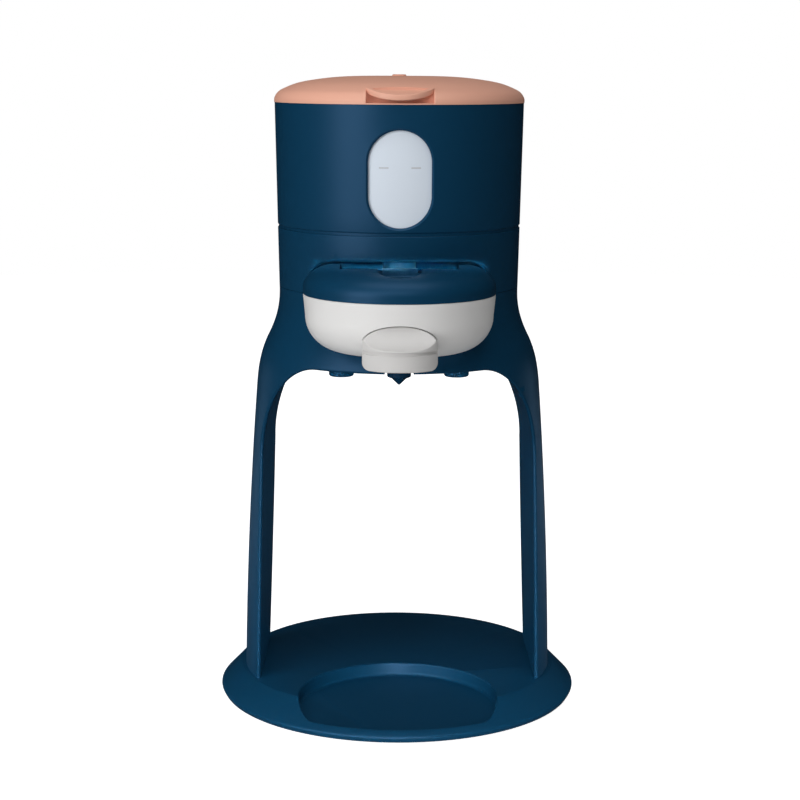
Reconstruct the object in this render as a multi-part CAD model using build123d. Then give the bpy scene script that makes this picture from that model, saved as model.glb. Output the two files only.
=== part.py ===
"""Baby formula maker, in millimetres.

A round base carries two legs that close into an arch. The arch carries a round head with the
pump, the heater and a bay for the mixing drawer, and a lift-off water tank stands on the head.
+Z is up, the user stands at -Y, and the origin is the middle of the base where it meets the table.
"""
from build123d import *
from math import cos, radians, sin, sqrt
import os

# ---- axes ----------------------------------------------------------------------------------------
column_y = 9.5                # axis of the legs, head and tank
dispense_y = -61.0            # axis of bowl, nozzle and bottle well

# ---- clearances ----------------------------------------------------------------------------------
fit_gap = 0.1                 # between pieces of one body
rest_gap = 0.1                # under a piece that rests on another body
slide_gap = 0.3               # between pieces that move past each other
bay_gap = 1.2                 # round the drawer in its bay
pin_gap = 0.05                # round a hinge pin

# ---- base ----------------------------------------------------------------------------------------
base_radius = 110.3
base_undercut = 2.0
base_under_radius = base_radius - base_undercut
base_rim_z = 4.5              # height of the widest line
base_rim_round = 1.5
base_under_z = 1.0
plateau_inset = 12.0
plateau_radius = base_radius - plateau_inset
plateau_z = 14.0
plateau_round = 1.5
base_wall = 3.0
well_radius = 59.0
well_land = 6.5               # the front of the well follows the rim of the base at this distance
well_floor_z = 6.0
well_round = 2.0
well_corner = 5.0
well_edge = 1.0
cover_thickness = 2.0
cover_lip = 3.5               # ring of the base left round its cover
foot_pad_radius = 8.0
foot_pad_height = 2.0
foot_pad_margin = 8.5         # from the edge of the cover to the pads
foot_pad_round = 0.5

# ---- screws --------------------------------------------------------------------------------------
screw_radius = 1.5
screw_head_radius = 3.0
screw_head = 2.0
screw_length = 12.0
screw_gap = 0.05
screw_slot = 0.8
screw_slot_reach = 1.8
leg_screw_spread = 14.0
cover_screw_margin = 14.5     # from the edge of the cover to its screws

# ---- column and legs -----------------------------------------------------------------------------
wall = 2.8
foot_inset = 3.0              # from the edge of the plateau to the outside of the legs
foot_radius = plateau_radius - foot_inset
leg_bow = 1.35                # the legs bow outwards by this in the middle
knee_radius = 86.7
knee_slope = 0.08
waist_radius = 72.7
tank_top_radius = 75.0
foot_block_height = 12.0      # solid foot of each leg

# ---- heights of the column -----------------------------------------------------------------------
arch_height = 195.5           # of the opening between the legs
shoulder_drop = 59.5          # from its top to where its sides begin to round
knee_drop = 15.5              # from its top to where the column starts to narrow
waist_rise = 39.5             # from its top to the waist
frame_rise = 42.5             # from its top to the parting line under the band
band_height = 35.7
tank_height = 74.5
arch_top_z = plateau_z + arch_height
arch_shoulder_z = arch_top_z - shoulder_drop
knee_z = arch_top_z - knee_drop
waist_z = arch_top_z + waist_rise
frame_top_z = arch_top_z + frame_rise
band_top_z = frame_top_z + band_height
tank_top_z = band_top_z + tank_height

# ---- arch between the legs -----------------------------------------------------------------------
leg_foot_width = 11.8
arch_half_base = foot_radius - leg_foot_width
arch_half_shoulder = 80.0
arch_corner_width = 35.0
arch_edge = 1.2               # rounding of the opening's edges
toe_base = 0.5                # the opening narrows to the back by this in toe_length
toe_shoulder = 1.8
toe_length = 40.0
liner_wall = 2.2
boss_inset = 21.8             # from the bowl's rim in to the bosses
boss_front_y = -50.0
boss_back_y = 60.0
boss_radius = 7.3
boss_drop = 4.5
boss_floor = 1.0
boss_edge = 1.2
post_radius = 4.5
post_height = 20.0

# ---- head ----------------------------------------------------------------------------------------
seam_gap = 0.25
band_edge = 0.5
mouth_edge = 1.5              # rounding of the band over the drawer
spigot_wall = 1.6
spigot_depth = 4.0
seat_thickness = 3.0
ledge_width = 4.0
ledge_height = 2.5
bay_wall = 2.0
bay_setback = 2.0             # the bay stops this short of the outer walls
skid_x = 20.0
skid_width = 3.0

# ---- controls, on the right flank behind the widest line -----------------------------------------
panel_azimuth = 40.0
panel_rise = 18.0             # from the parting line to the middle of the panel
panel_z = frame_top_z + panel_rise
panel_length = 46.0
panel_height = 14.0
panel_thickness = 1.2
panel_proud = 0.3
button_count = 3
button_pitch = 13.0
button_radius = 4.5
button_proud = 0.9
button_travel = 1.2
button_length = 6.5
button_flange = 1.0
button_edge = 0.6
board_thickness = 1.6
board_height = 22.0
board_post_radius = 2.5
board_post_rise = 8.0
tact_width = 6.0

# ---- drawer --------------------------------------------------------------------------------------
bowl_lift = 13.1              # from the top of the arch to the bowl
bowl_depth = 32.7
bowl_bottom_z = arch_top_z + bowl_lift
bowl_rim_z = bowl_bottom_z + bowl_depth
bowl_rim_radius = 55.5
bowl_taper = 1.2
boss_x = bowl_rim_radius - boss_inset
bowl_side_radius = bowl_rim_radius - bowl_taper
bowl_round = 20.3             # of the lower edge
bowl_wall = 2.2
bowl_funnel = 2.0             # the floor falls by this to the outlet
bowl_edge = 0.5
cover_side_height = 3.2
cover_shoulder_width = 18.0
cover_shoulder_height = 12.5
cover_crown = 1.0
cover_wall = 2.0
lid_parting = 19.0            # parting line of the powder lid, in front of the bowl's axis
lid_parting_half = 34.0
lid_head_gap = 1.5            # between powder lid and head
lid_skirt = 1.8
lid_edge = 0.5
rear_cover_drop = 7.0
shelf_depth = 4.0
lid_plug_depth = 2.5
lid_plug_wall = 1.6
thumb_half = 12.2
thumb_reach = 48.0            # from the bowl's axis to the front of the thumb recess
thumb_depth = 4.2
thumb_wall = 1.6
thumb_round = 1.0
edge_notch = 6.0              # notches in the back edge, at both ends of the recess
edge_notch_start = 10.2
edge_notch_depth = 2.2

# ---- handle --------------------------------------------------------------------------------------
handle_half = 20.85
handle_drop = 3.4             # below the bottom of the bowl
handle_side = 13.5            # height of its straight sides
handle_arch = 10.0            # above them the outline is half an ellipse
handle_corner = 4.0
handle_overhang = 11.5        # in front of the bowl's rim
handle_front_round = 24.0
handle_sink = 7.5             # depth of its pocket, behind the bowl's rim
handle_gap = 0.6
handle_edge = 0.7
lip_rise = 11.8
lip_thickness = 0.8
lip_height = 2.8
lip_overhang = 0.9
scoop_radius = 16.5
handle_bottom_z = bowl_bottom_z - handle_drop
handle_side_z = handle_bottom_z + handle_side
lip_z = handle_bottom_z + lip_rise
handle_reach = bowl_rim_radius + handle_overhang
handle_pocket = bowl_rim_radius - handle_sink

# ---- nozzle --------------------------------------------------------------------------------------
nozzle_radius = 6.95
nozzle_length = 16.1
nozzle_shoulder_round = 0.8
nozzle_shoulder_height = 1.0
nozzle_cone_radius = 4.4
nozzle_cone_height = 3.8
nozzle_tip_radius = 0.5
nozzle_bore = 3.6
outlet_hole_radius = 0.8
outlet_holes = 4
nozzle_seal_width = 2.2
nozzle_seal_height = 1.2
spigot_radius = 5.0
slot_gap = 1.3                # round the nozzle in the slot it travels through
nozzle_end_z = bowl_bottom_z - nozzle_length

# ---- tank ----------------------------------------------------------------------------------------
sleeve_wall = 2.4
sleeve_edge = 0.8
tank_foot_height = 1.5        # of the step under the sleeve
tank_foot_inset = 0.6
tank_wall = 1.8
tank_floor = 3.5
tank_rim_drop = 0.6
window_width = 36.4
window_height = 55.6
window_rise = 32.4            # from the top of the band to the middle of the window
window_bevel = 1.2
lug_x = 40.0
lug_radius = 5.0
lug_height = 2.3
window_z = band_top_z + window_rise

# ---- tank lid ------------------------------------------------------------------------------------
lid_overhang = 0.3
lid_radius = tank_top_radius + lid_overhang
lid_rim_height = 1.1
lid_height = 15.5
lid_shape = [(0.571, 0.923), (0.691, 0.845), (0.837, 0.69), (0.916, 0.535), (0.969, 0.381), (0.992, 0.226)]
lid_wall = 2.2
plug_gap = 0.45
plug_depth = 4.8
plug_wall = 2.2
gasket_rise = 1.2
gasket_height = 2.0
gasket_depth = 1.2
tab_half = 19.2
tab_overhang = 2.2            # in front of the lid's rim
tab_depth = 12.0
tab_reach = lid_radius + tab_overhang
tab_back = tab_reach - tab_depth
tab_corner = 1.0
tab_root = 1.0
tab_thickness = 3.4
tab_height = 9.7              # of the tab's back edge over the lid's rim
tab_slope = 0.35
tab_floor = 0.7
tab_edge = 2.2
tab_dish = 1.5
tab_round = 0.6
vent_radius = 4.3
vent_rise = 0.9
vent_round = 0.8
vent_back = 16.0
hinge_radius = 3.4
hinge_half = 18.0
hinge_knuckle = 16.0
pin_radius = 1.5

# ---- valve in the tank floor ---------------------------------------------------------------------
valve_back = 35.5             # behind the axis of the tank
valve_radius = 9.0
valve_bore = 6.5
valve_length = 13.0
valve_flange_radius = 12.0
valve_flange = 1.6
valve_port = 4.0
valve_lip = 2.0
valve_lift = 2.5
valve_bar_half = 1.2
poppet_radius = 5.8
poppet_thickness = 2.0
poppet_guide = 2.0
stem_radius = 1.6
spring_wire = 0.45
spring_radius = 4.2
spring_turns = 4
cup_wall = 2.5
cup_gap = 1.3
cup_floor = 2.5
seal_rise = 3.0
seal_height = 2.2
valve_y = column_y + valve_back

# ---- water works ---------------------------------------------------------------------------------
stub_radius = 2.4
stub_bore = 1.5
stub_length = 5.0
hose_radius = 3.6
hose_bend = 7.0
hose_start = 0.5              # from a stub's root to the end of the hose
drain_offset = 6.0
pump_x, pump_y = -38.0, 40.0
pump_head_radius = 15.0
pump_head_height = 12.0
pump_motor_radius = 12.5
pump_motor_height = 26.0
pump_motor_round = 1.5
pump_nose_radius = 3.0
pump_nose_height = 2.5
pump_pad_height = 2.3
pump_pad_width = 6.0
heater_x, heater_y = 26.0, 20.0
heater_length, heater_width, heater_height = 40.0, 24.0, 50.0
heater_fins = 6
heater_fin_depth = 2.0
spray_back = 23.0             # behind the axis of the bowl
spray_radius = 11.5
spray_tip_radius = 9.6
spray_bore = 3.0
spray_gap = 1.5               # over the rear cover
spray_hose_drop = 1.2         # from the deck to the hose
water_hole_radius = 8.0
spray_y = dispense_y + spray_back

# ---- gland ---------------------------------------------------------------------------------------
gland_drop = 12.0             # below the parting line
gland_radius = 6.0
gland_flange_radius = 9.0
gland_flange = 2.5
gland_bore = 3.3
gland_tail = 6.0
gland_edge = 1.0
gland_z = frame_top_z - gland_drop

FAR = 400.0


# ---- small helpers -------------------------------------------------------------------------------
def slab(low, high):
    """Everything between two heights."""
    return Pos(0, 0, (low + high) / 2) * Box(FAR, FAR, high - low)


def rod(radius, low, high, x=0.0, y=0.0):
    """Upright cylinder between two heights."""
    return Pos(x, y, low) * Cylinder(radius, high - low, align=(Align.CENTER, Align.CENTER, Align.MIN))


def ring(outer, inner, low, high, x=0.0, y=0.0):
    """Upright tube between two heights."""
    return rod(outer, low, high, x, y) - rod(inner, low - 1, high + 1, x, y)


def block(x0, x1, y0, y1, z0, z1):
    """Box between two corners."""
    return Pos((x0 + x1) / 2, (y0 + y1) / 2, (z0 + z1) / 2) * Box(x1 - x0, y1 - y0, z1 - z0)


def turned(outline, y):
    """Solid turned about the upright line at y from a closed outline of radius and height."""
    return Pos(0, y, 0) * revolve(make_face(Plane.XZ * outline), Axis.Z)


def upright(face, y0, y1):
    """Face drawn in width and height, pushed through from y0 to y1."""
    return extrude(Plane((0, y0, 0), x_dir=(1, 0, 0), z_dir=(0, -1, 0)) * face, y0 - y1)


def waist_taper():
    """Growth of radius with height from the waist to the top of the tank."""
    return (tank_top_radius - waist_radius) / (tank_top_z - waist_z)


def column_radius(z):
    """Outside radius of head and tank above the waist."""
    return waist_radius + (z - waist_z) * waist_taper()


def column(inset, low, high):
    """Legs, head and tank as one turned form, its side moved in by inset, between two heights."""
    foot = (foot_radius - inset, plateau_z)
    knee = (knee_radius - inset, knee_z)
    waist = (waist_radius - inset, waist_z)
    top = (tank_top_radius - inset, tank_top_z)
    middle = ((knee[0] + waist[0]) / 2, (knee_z + waist_z) / 2)
    steepest = 2 * (waist_radius - knee_radius) / (waist_z - knee_z)
    leg = SagittaArc(foot, knee, -leg_bow)
    flare = Spline(knee, middle, waist, tangents=[(-knee_slope, 1), (steepest, 1), (0.0, 1)])
    outline = leg + flare + Line(waist, top) + Polyline(top, (0, tank_top_z), (0, plateau_z), foot)
    return turned(outline, column_y) & slab(low, high)


def arch(grow):
    """The opening between the legs from front to back, grown all round."""
    ends = []
    for reach in (-120.0, 120.0):
        narrowing = reach / toe_length
        base = arch_half_base + grow - toe_base * narrowing
        shoulder = arch_half_shoulder + grow - toe_shoulder * narrowing
        width = arch_corner_width + grow
        top = arch_top_z + grow
        height = top - arch_shoulder_z
        side = Polyline((0, plateau_z - 1), (base, plateau_z - 1), (shoulder, arch_shoulder_z))
        corner = EllipticalCenterArc((shoulder - width, arch_shoulder_z), width, height, 0, arc_size=90)
        half = make_face(side + corner + Polyline((shoulder - width, top), (0, top), (0, plateau_z - 1)))
        face = half + mirror(half, Plane.YZ)
        ends.append(Plane((0, column_y + reach, 0), x_dir=(1, 0, 0), z_dir=(0, -1, 0)) * face)
    return loft(ends, ruled=True)


# ---- drawer envelope -----------------------------------------------------------------------------
def drawer_outline(grow, top_drop=0.0):
    """Half outline of bowl and cover, grown all round, as one closed curve."""
    bottom = bowl_bottom_z - grow
    flat = bowl_side_radius - bowl_round
    side = bowl_side_radius + grow
    knee_height = bowl_bottom_z + bowl_round
    rim = bowl_rim_radius + grow
    shoulder_z = bowl_rim_z + cover_side_height
    width = cover_shoulder_width + grow
    height = cover_shoulder_height + grow - top_drop
    top = shoulder_z + height
    low = Line((0, bottom), (flat, bottom))
    rounding = EllipticalCenterArc((flat, knee_height), side - flat, knee_height - bottom, -90,
                                    arc_size=90)
    wall_line = Polyline((side, knee_height), (rim, bowl_rim_z), (rim, shoulder_z))
    shoulder = EllipticalCenterArc((rim - width, shoulder_z), width, height, 0, arc_size=90)
    crown = Polyline((rim - width, top), (0, top + cover_crown), (0, bottom))
    return low + rounding + wall_line + shoulder + crown


def drawer_solid(grow, top_drop=0.0):
    """Bowl and cover as one solid."""
    return turned(drawer_outline(grow, top_drop), dispense_y)


def bay_space(grow):
    """The room the drawer needs: its own form, carried on forwards."""
    half = make_face(drawer_outline(grow))
    whole = half + mirror(half, Plane.YZ)
    return drawer_solid(grow) + upright(whole, dispense_y - FAR / 4, dispense_y)


def nozzle_slot(grow):
    """The way of the nozzle out to the front, between the legs' arch and the bay."""
    half = nozzle_radius + slot_gap + grow
    way = block(-half, half, dispense_y - FAR / 4, dispense_y, arch_top_z - 1, bowl_bottom_z + 1)
    return way + rod(half, arch_top_z - 1, bowl_bottom_z + 1, 0, dispense_y)


# ---- base ----------------------------------------------------------------------------------------
cover_radius = base_under_radius - cover_lip
cover_top_z = base_under_z + cover_thickness
leg_screw_places = [(side * (arch_half_base + liner_wall + foot_radius) / 2, column_y + shift)
                    for side in (1, -1) for shift in (-leg_screw_spread, leg_screw_spread)]


def around(radius, angles, y=0.0):
    """Places on a circle, at angles from +X."""
    return [(radius * cos(radians(a)), y + radius * sin(radians(a))) for a in angles]


cover_screw_places = around(cover_radius - cover_screw_margin, (-30, 28, 90, 152, 210))
foot_places = around(cover_radius - foot_pad_radius - foot_pad_margin, (45, 135, 225, 315)) + [(0.0, 0.0)]


def well_form():
    """The bottle's well: a round, cut off by a curve that follows the rim."""
    front_radius = base_radius - well_land
    form = rod(well_radius, well_floor_z, FAR / 10, 0, dispense_y) & rod(front_radius, 0, FAR / 10)
    form = fillet(form.edges().filter_by(Axis.Z).sort_by(Axis.Y)[:2], well_corner)
    return fillet(form.faces().sort_by(Axis.Z)[0].edges(), well_round)


def well_rim(shell):
    """Upper edges of the well, where it opens to the top of the base."""
    found = []
    for edge in shell.edges():
        box = edge.bounding_box()
        middle = edge @ 0.5
        inside = sqrt(middle.X ** 2 + (middle.Y - dispense_y) ** 2) < well_radius + well_edge
        if inside and box.min.Z > well_floor_z + well_round + fit_gap and box.max.Z < plateau_z + fit_gap:
            if box.size.X > well_edge or box.size.Y > well_edge:
                found.append(edge)
    return found


def base_plate():
    """Moulded top shell of the base."""
    rim = Pos(0, 0, base_under_z) * Cone(base_under_radius, base_radius, base_rim_z - base_under_z,
                                         align=(Align.CENTER, Align.CENTER, Align.MIN))
    lower = Pos(0, 0, base_rim_z) * Circle(base_radius)
    upper = Pos(0, plateau_inset, plateau_z) * Circle(plateau_radius)
    dome = loft([lower, upper], ruled=True)
    shell = fillet(dome.faces().sort_by(Axis.Z)[-1].edges(), plateau_round) + rim
    shell = fillet(shell.edges().filter_by(GeomType.CIRCLE).group_by(Axis.Z)[1], base_rim_round)
    ceiling = Pos(0, plateau_inset, plateau_z - base_wall) * Circle(plateau_radius - 2 * base_wall)
    opening = Pos(0, plateau_inset / 4, cover_top_z) * Circle(base_radius - 3.5 * base_wall)
    hollow = loft([opening, ceiling], ruled=True)
    hollow -= rod(well_radius + base_wall, cover_top_z - 1, plateau_z, 0, dispense_y)
    for x, y in leg_screw_places:
        hollow -= rod(screw_head_radius + base_wall, cover_top_z - 1, plateau_z, x, y)
    for x, y in cover_screw_places:
        hollow -= rod(screw_radius + base_wall, cover_top_z - 1, plateau_z, x, y)
    shell -= well_form()
    shell = fillet(well_rim(shell), well_edge) - hollow
    shell -= rod(cover_radius, base_under_z - 1, cover_top_z)
    for x, y in leg_screw_places:
        shell -= rod(screw_radius + 2 * screw_gap, cover_top_z - 1, plateau_z + 1, x, y)
        shell -= rod(screw_head_radius + fit_gap, cover_top_z - 1, plateau_z - base_wall, x, y)
    for x, y in cover_screw_places:
        shell -= rod(screw_radius + screw_gap, cover_top_z - 1, plateau_z - base_wall, x, y)
    return shell


def base_cover():
    """Flat cover that closes the base from below."""
    plate = rod(cover_radius - fit_gap, base_under_z, cover_top_z)
    for x, y in foot_places:
        plate -= rod(foot_pad_radius + fit_gap, 0, foot_pad_height, x, y)
    for x, y in cover_screw_places:
        plate -= rod(screw_radius + screw_gap, 0, cover_top_z + 1, x, y)
        plate -= rod(screw_head_radius + fit_gap, 0, cover_top_z - base_under_z / 2, x, y)
    return plate


def rubber_feet():
    """Four pads that stand on the table."""
    pads = [rod(foot_pad_radius, 0, foot_pad_height, x, y) for x, y in foot_places]
    return Compound(children=[fillet(p.faces().sort_by(Axis.Z)[0].edges(), foot_pad_round) for p in pads])


def screw(x, y, seat_z, length):
    """Screw driven upwards, its head under the height seat_z."""
    low = seat_z - screw_head
    head = rod(screw_head_radius, low, seat_z, x, y)
    half = screw_slot / 2
    cross = block(x - screw_slot_reach, x + screw_slot_reach, y - half, y + half, low - 1, low + screw_slot)
    cross += block(x - half, x + half, y - screw_slot_reach, y + screw_slot_reach, low - 1, low + screw_slot)
    return head + rod(screw_radius, seat_z, seat_z + length, x, y) - cross


def base_cover_screws():
    """Screws of the base cover, their heads sunk in it."""
    seat_z = cover_top_z - base_under_z / 2
    flat = [rod(screw_head_radius, base_under_z + fit_gap, seat_z, x, y)
            + rod(screw_radius, seat_z, plateau_z - 2 * base_wall, x, y) for x, y in cover_screw_places]
    return Compound(children=flat)


def leg_screws():
    """Screws that draw the legs down onto the base."""
    seat_z = plateau_z - base_wall
    return Compound(children=[screw(x, y, seat_z, screw_length) for x, y in leg_screw_places])


# ---- legs and arch -------------------------------------------------------------------------------
def leg_liner_space(grow):
    """The layer that lines the arch inside the column's outer wall."""
    return arch(liner_wall + grow) - arch(0)


def arch_rims(body):
    """Edges of the opening at the front and back of the legs."""
    found = []
    for edge in body.edges():
        box = edge.bounding_box()
        rising = box.size.Z > arch_edge and box.max.Z < arch_top_z + fit_gap
        across = abs(edge.center().Z - arch_top_z) < fit_gap and edge.length > arch_corner_width
        if rising or across:
            found.append(edge)
    return found


def arch_frame():
    """Outer moulding: both legs and the flared lower head in one piece."""
    body = column(0, plateau_z, frame_top_z) - arch(0)
    body = fillet(arch_rims(body), arch_edge)
    body -= column(wall, plateau_z + foot_block_height, frame_top_z + 1)
    body -= arch(liner_wall + fit_gap) & column(wall, plateau_z - 1, plateau_z + foot_block_height + 1)
    body -= bay_space(bay_gap)
    body -= nozzle_slot(0)
    post_low = arch_top_z + liner_wall
    inside = column(wall / 2, plateau_z, frame_top_z)
    for side in (1, -1):
        x = side * boss_x
        reach = sqrt(knee_radius ** 2 - boss_x ** 2) + column_y
        rib = block(x - wall / 2, x + wall / 2, boss_back_y, reach, post_low, post_low + post_height)
        post = rod(post_radius, post_low, post_low + post_height, x, boss_back_y) + (rib & inside)
        body += post - rod(screw_radius + screw_gap, post_low - 1, post_low + screw_length, x, boss_back_y)
    for x, y in leg_screw_places:
        body -= rod(screw_radius + screw_gap, plateau_z - 1, plateau_z + screw_length - base_wall / 2, x, y)
    hole = Plane((0, column_y, gland_z), z_dir=(0, 1, 0)) * Circle(gland_radius + fit_gap)
    return body - extrude(hole, FAR / 2)


def boss_places():
    """Screw bosses under the head."""
    return [(side * boss_x, y) for side in (1, -1) for y in (boss_front_y, boss_back_y)]


def inner_arch():
    """Lining of legs and head underside, one moulding that follows the arch."""
    body = leg_liner_space(0) & column(wall + fit_gap, plateau_z + fit_gap, frame_top_z)
    body -= nozzle_slot(0)
    for x, y in boss_places():
        boss = rod(boss_radius, arch_top_z - boss_drop, arch_top_z + liner_wall / 2, x, y)
        body += fillet(boss.faces().sort_by(Axis.Z)[0].edges(), boss_edge)
    for x, y in boss_places():
        body -= rod(screw_radius + 2 * screw_gap, arch_top_z - boss_drop - 1, arch_top_z + liner_wall + 1,
                    x, y)
        body -= rod(screw_head_radius + fit_gap, arch_top_z - boss_drop - 1, arch_top_z - boss_floor, x, y)
    return body


def underside_screws():
    """Screws that hold the lining to the head."""
    seat_z = arch_top_z - boss_floor
    return Compound(children=[screw(x, y, seat_z, screw_length) for x, y in boss_places()])


# ---- head ----------------------------------------------------------------------------------------
def drawer_bay():
    """Moulded bay that keeps water and powder away from the works behind it."""
    space = bay_space(bay_gap)
    body = bay_space(bay_gap + bay_wall) - space
    for side in (1, -1):
        x = side * boss_x
        foot = rod(post_radius, arch_top_z + liner_wall, bowl_bottom_z + bowl_round, x, boss_front_y) - space
        body += foot
    skid_back = dispense_y + sqrt((bowl_side_radius - bowl_round) ** 2 - skid_x ** 2) - 1
    for side in (1, -1):
        x = side * skid_x
        body += block(x - skid_width / 2, x + skid_width / 2, dispense_y - FAR / 10, skid_back,
                      bowl_bottom_z - bay_gap - bay_wall / 2, bowl_bottom_z - rest_gap)
    body &= column(wall + bay_setback, plateau_z, tank_top_z)
    body -= nozzle_slot(0)
    body -= rod(spray_tip_radius + fit_gap, bowl_rim_z, tank_top_z, 0, spray_y)
    for side in (1, -1):
        hole_low = arch_top_z + liner_wall - 1
        body -= rod(screw_radius + screw_gap, hole_low, arch_top_z + screw_length, side * boss_x,
                    boss_front_y)
    return body


def panel_plane(distance):
    """Plane square to the panel's direction, at a distance from the column's axis."""
    angle = radians(panel_azimuth)
    facing = (cos(angle), sin(angle), 0)
    origin = (distance * cos(angle), column_y + distance * sin(angle), panel_z)
    return Plane(origin, x_dir=(-sin(angle), cos(angle), 0), z_dir=facing)


def panel_prism(length, height):
    """The panel's outline, pushed outwards through the wall."""
    return extrude(panel_plane(waist_radius - 3 * wall) * SlotOverall(length, height), 6 * wall)


def button_shift(index):
    """Sideways place of one button on the panel."""
    return (index - (button_count - 1) / 2) * button_pitch


def button_face(index):
    """Distance of the wall's surface from the column's axis plane at one button."""
    return sqrt(column_radius(panel_z) ** 2 - button_shift(index) ** 2)


def across_panel(radius, start, end, shift, rise=0.0):
    """Cylinder square to the panel, between two distances from the column's axis."""
    return extrude(panel_plane(start) * Pos(shift, rise) * Circle(radius), end - start)


board_face = column_radius(panel_z) - wall - button_length
post_shift = panel_length / 2 - board_post_radius
post_reach = sqrt((column_radius(panel_z) - wall / 2) ** 2 - post_shift ** 2)


def mouth_rim(body):
    """Edge of the band's front over the drawer."""
    front = column_y - waist_radius / 2
    rims = [e for e in body.edges() if e.center().Y < front and e.bounding_box().size.Z < bowl_depth
            and outside_radius(e) > column_radius(e.center().Z) - wall / 2
            and e.bounding_box().min.Z < band_top_z - band_height / 4
            and e.bounding_box().max.Z > frame_top_z + 2 * seam_gap]
    return rims


def head_band():
    """Plain band between the arch and the tank."""
    low = frame_top_z + seam_gap
    body = column(0, low, band_top_z)
    body = fillet(body.faces().sort_by(Axis.Z)[-1].edges(), band_edge) - bay_space(bay_gap)
    body = fillet(mouth_rim(body), mouth_edge) - column(wall, low - 1, band_top_z + 1)
    spigot_outer = waist_radius - wall - fit_gap
    spigot_low = frame_top_z - spigot_depth
    spigot_inner = spigot_outer - spigot_wall
    body += ring(spigot_outer, spigot_inner, spigot_low, low + spigot_wall, 0, column_y)
    body += ring(waist_radius - wall / 2, spigot_inner, low, low + spigot_wall, 0, column_y)
    ledge_outer = column_radius(band_top_z) - wall / 2
    ledge_inner = column_radius(band_top_z) - wall - ledge_width
    ledge_top = band_top_z - seat_thickness
    ledge = ring(ledge_outer, ledge_inner, ledge_top - ledge_height, ledge_top, 0, column_y)
    body += ledge & column(wall / 2, low, band_top_z)
    for x, y in seat_screw_places:
        post = rod(post_radius, ledge_top - screw_length, ledge_top, x, y)
        body += post & column(wall / 2, low, band_top_z)
    for x, y in seat_screw_places:
        body -= rod(screw_radius + screw_gap, ledge_top - screw_length + 1, ledge_top + 1, x, y)
    for side in (1, -1):
        for rise in (board_post_rise, -board_post_rise):
            body += across_panel(board_post_radius, board_face, post_reach, side * post_shift, rise)
    body -= panel_prism(panel_length + 2 * fit_gap, panel_height + 2 * fit_gap) - column(
        panel_thickness, low, band_top_z)
    for index in range(button_count):
        body -= across_panel(button_radius + slide_gap, board_face + 2, FAR / 4, button_shift(index))
    return body - bay_space(bay_gap)


seat_screw_places = around(waist_radius - wall - post_radius, (-28, 90, 208), column_y)
valve_low_z = band_top_z + rest_gap + tank_floor - valve_length
cup_low_z = valve_low_z - cup_floor - valve_lip
cup_inner = valve_radius + cup_gap


def tank_seat():
    """Deck the tank stands on, with the cup its valve drops into."""
    low = band_top_z - seat_thickness
    body = column(wall + fit_gap, low, band_top_z)
    body += rod(cup_inner + cup_wall, cup_low_z, low + 1, 0, valve_y)
    body -= rod(cup_inner, cup_low_z + cup_floor, band_top_z + 1, 0, valve_y)
    body += rod(stem_radius, cup_low_z + cup_floor - 1, stem_low_z() - rest_gap, 0, valve_y)
    drain_y = valve_y + drain_offset
    body += rod(stub_radius, cup_low_z - stub_length, cup_low_z + 1, 0, drain_y)
    body -= rod(stub_bore, cup_low_z - stub_length - 1, cup_low_z + cup_floor + 1, 0, drain_y)
    for side in (1, -1):
        body += rod(lug_radius, low + 1, band_top_z + lug_height, side * lug_x, column_y)
    for x, y in seat_screw_places:
        body -= rod(screw_radius + 2 * screw_gap, low - 1, band_top_z + 1, x, y)
        body -= rod(screw_head_radius + fit_gap, band_top_z - screw_head, band_top_z + 1, x, y)
    return body


def seat_screws():
    """Screws of the deck, driven downwards under the tank."""
    made = []
    for x, y in seat_screw_places:
        head = rod(screw_head_radius, band_top_z - screw_head, band_top_z - fit_gap, x, y)
        low = band_top_z - seat_thickness - screw_length + 2
        made.append(head + rod(screw_radius, low, band_top_z - screw_head, x, y))
    return Compound(children=made)


def inlet_seal():
    """Rubber ring between the tank's valve and the cup."""
    low = cup_low_z + cup_floor + valve_lip + seal_rise
    return ring(cup_inner - fit_gap / 2, valve_radius + slide_gap, low, low + seal_height, 0, valve_y)


def control_panel():
    """Thin inlay round the buttons, flush with the band."""
    sheet = column(-panel_proud, frame_top_z, band_top_z) - column(panel_thickness, frame_top_z - 1,
                                                                 band_top_z + 1)
    body = sheet & panel_prism(panel_length, panel_height)
    for index in range(button_count):
        body -= across_panel(button_radius + slide_gap, board_face, FAR / 4, button_shift(index))
    return body


def control_board():
    """Circuit board behind the buttons, with one switch for each."""
    plane = panel_plane(board_face - board_thickness)
    body = extrude(plane * Rectangle(panel_length, board_height), board_thickness)
    for index in range(button_count):
        plate = panel_plane(board_face) * Pos(button_shift(index), 0) * Rectangle(tact_width, tact_width)
        body += extrude(plate, tact_height(index))
    return body


def button_inner(index):
    """Distance of a button's inner end from the column's axis plane."""
    return button_face(index) + button_proud - button_length


def tact_height(index):
    """Height of the switch under a button, a free gap short of the pressed button."""
    return button_inner(index) - button_travel - slide_gap - board_face


def button(index):
    """Push button with a flange that keeps it behind the wall."""
    inner = button_inner(index)
    outer = button_face(index) + button_proud
    shift = button_shift(index)
    cap = across_panel(button_radius, inner, outer, shift)
    cap = fillet(cap.faces().filter_by(GeomType.PLANE).sort_by(panel_axis())[-1].edges(), button_edge)
    flange_radius = button_radius + button_flange
    flange_top = sqrt((column_radius(panel_z) - wall) ** 2 - (abs(shift) + flange_radius) ** 2) - slide_gap
    return cap + across_panel(flange_radius, flange_top - button_flange, flange_top, shift)


def panel_axis():
    """Axis that points out of the panel."""
    plane = panel_plane(0)
    return Axis(plane.origin, plane.z_dir)


# ---- water works ---------------------------------------------------------------------------------
works_floor_z = arch_top_z + liner_wall
port_z = works_floor_z + pump_pad_height + pump_head_height / 2


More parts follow.
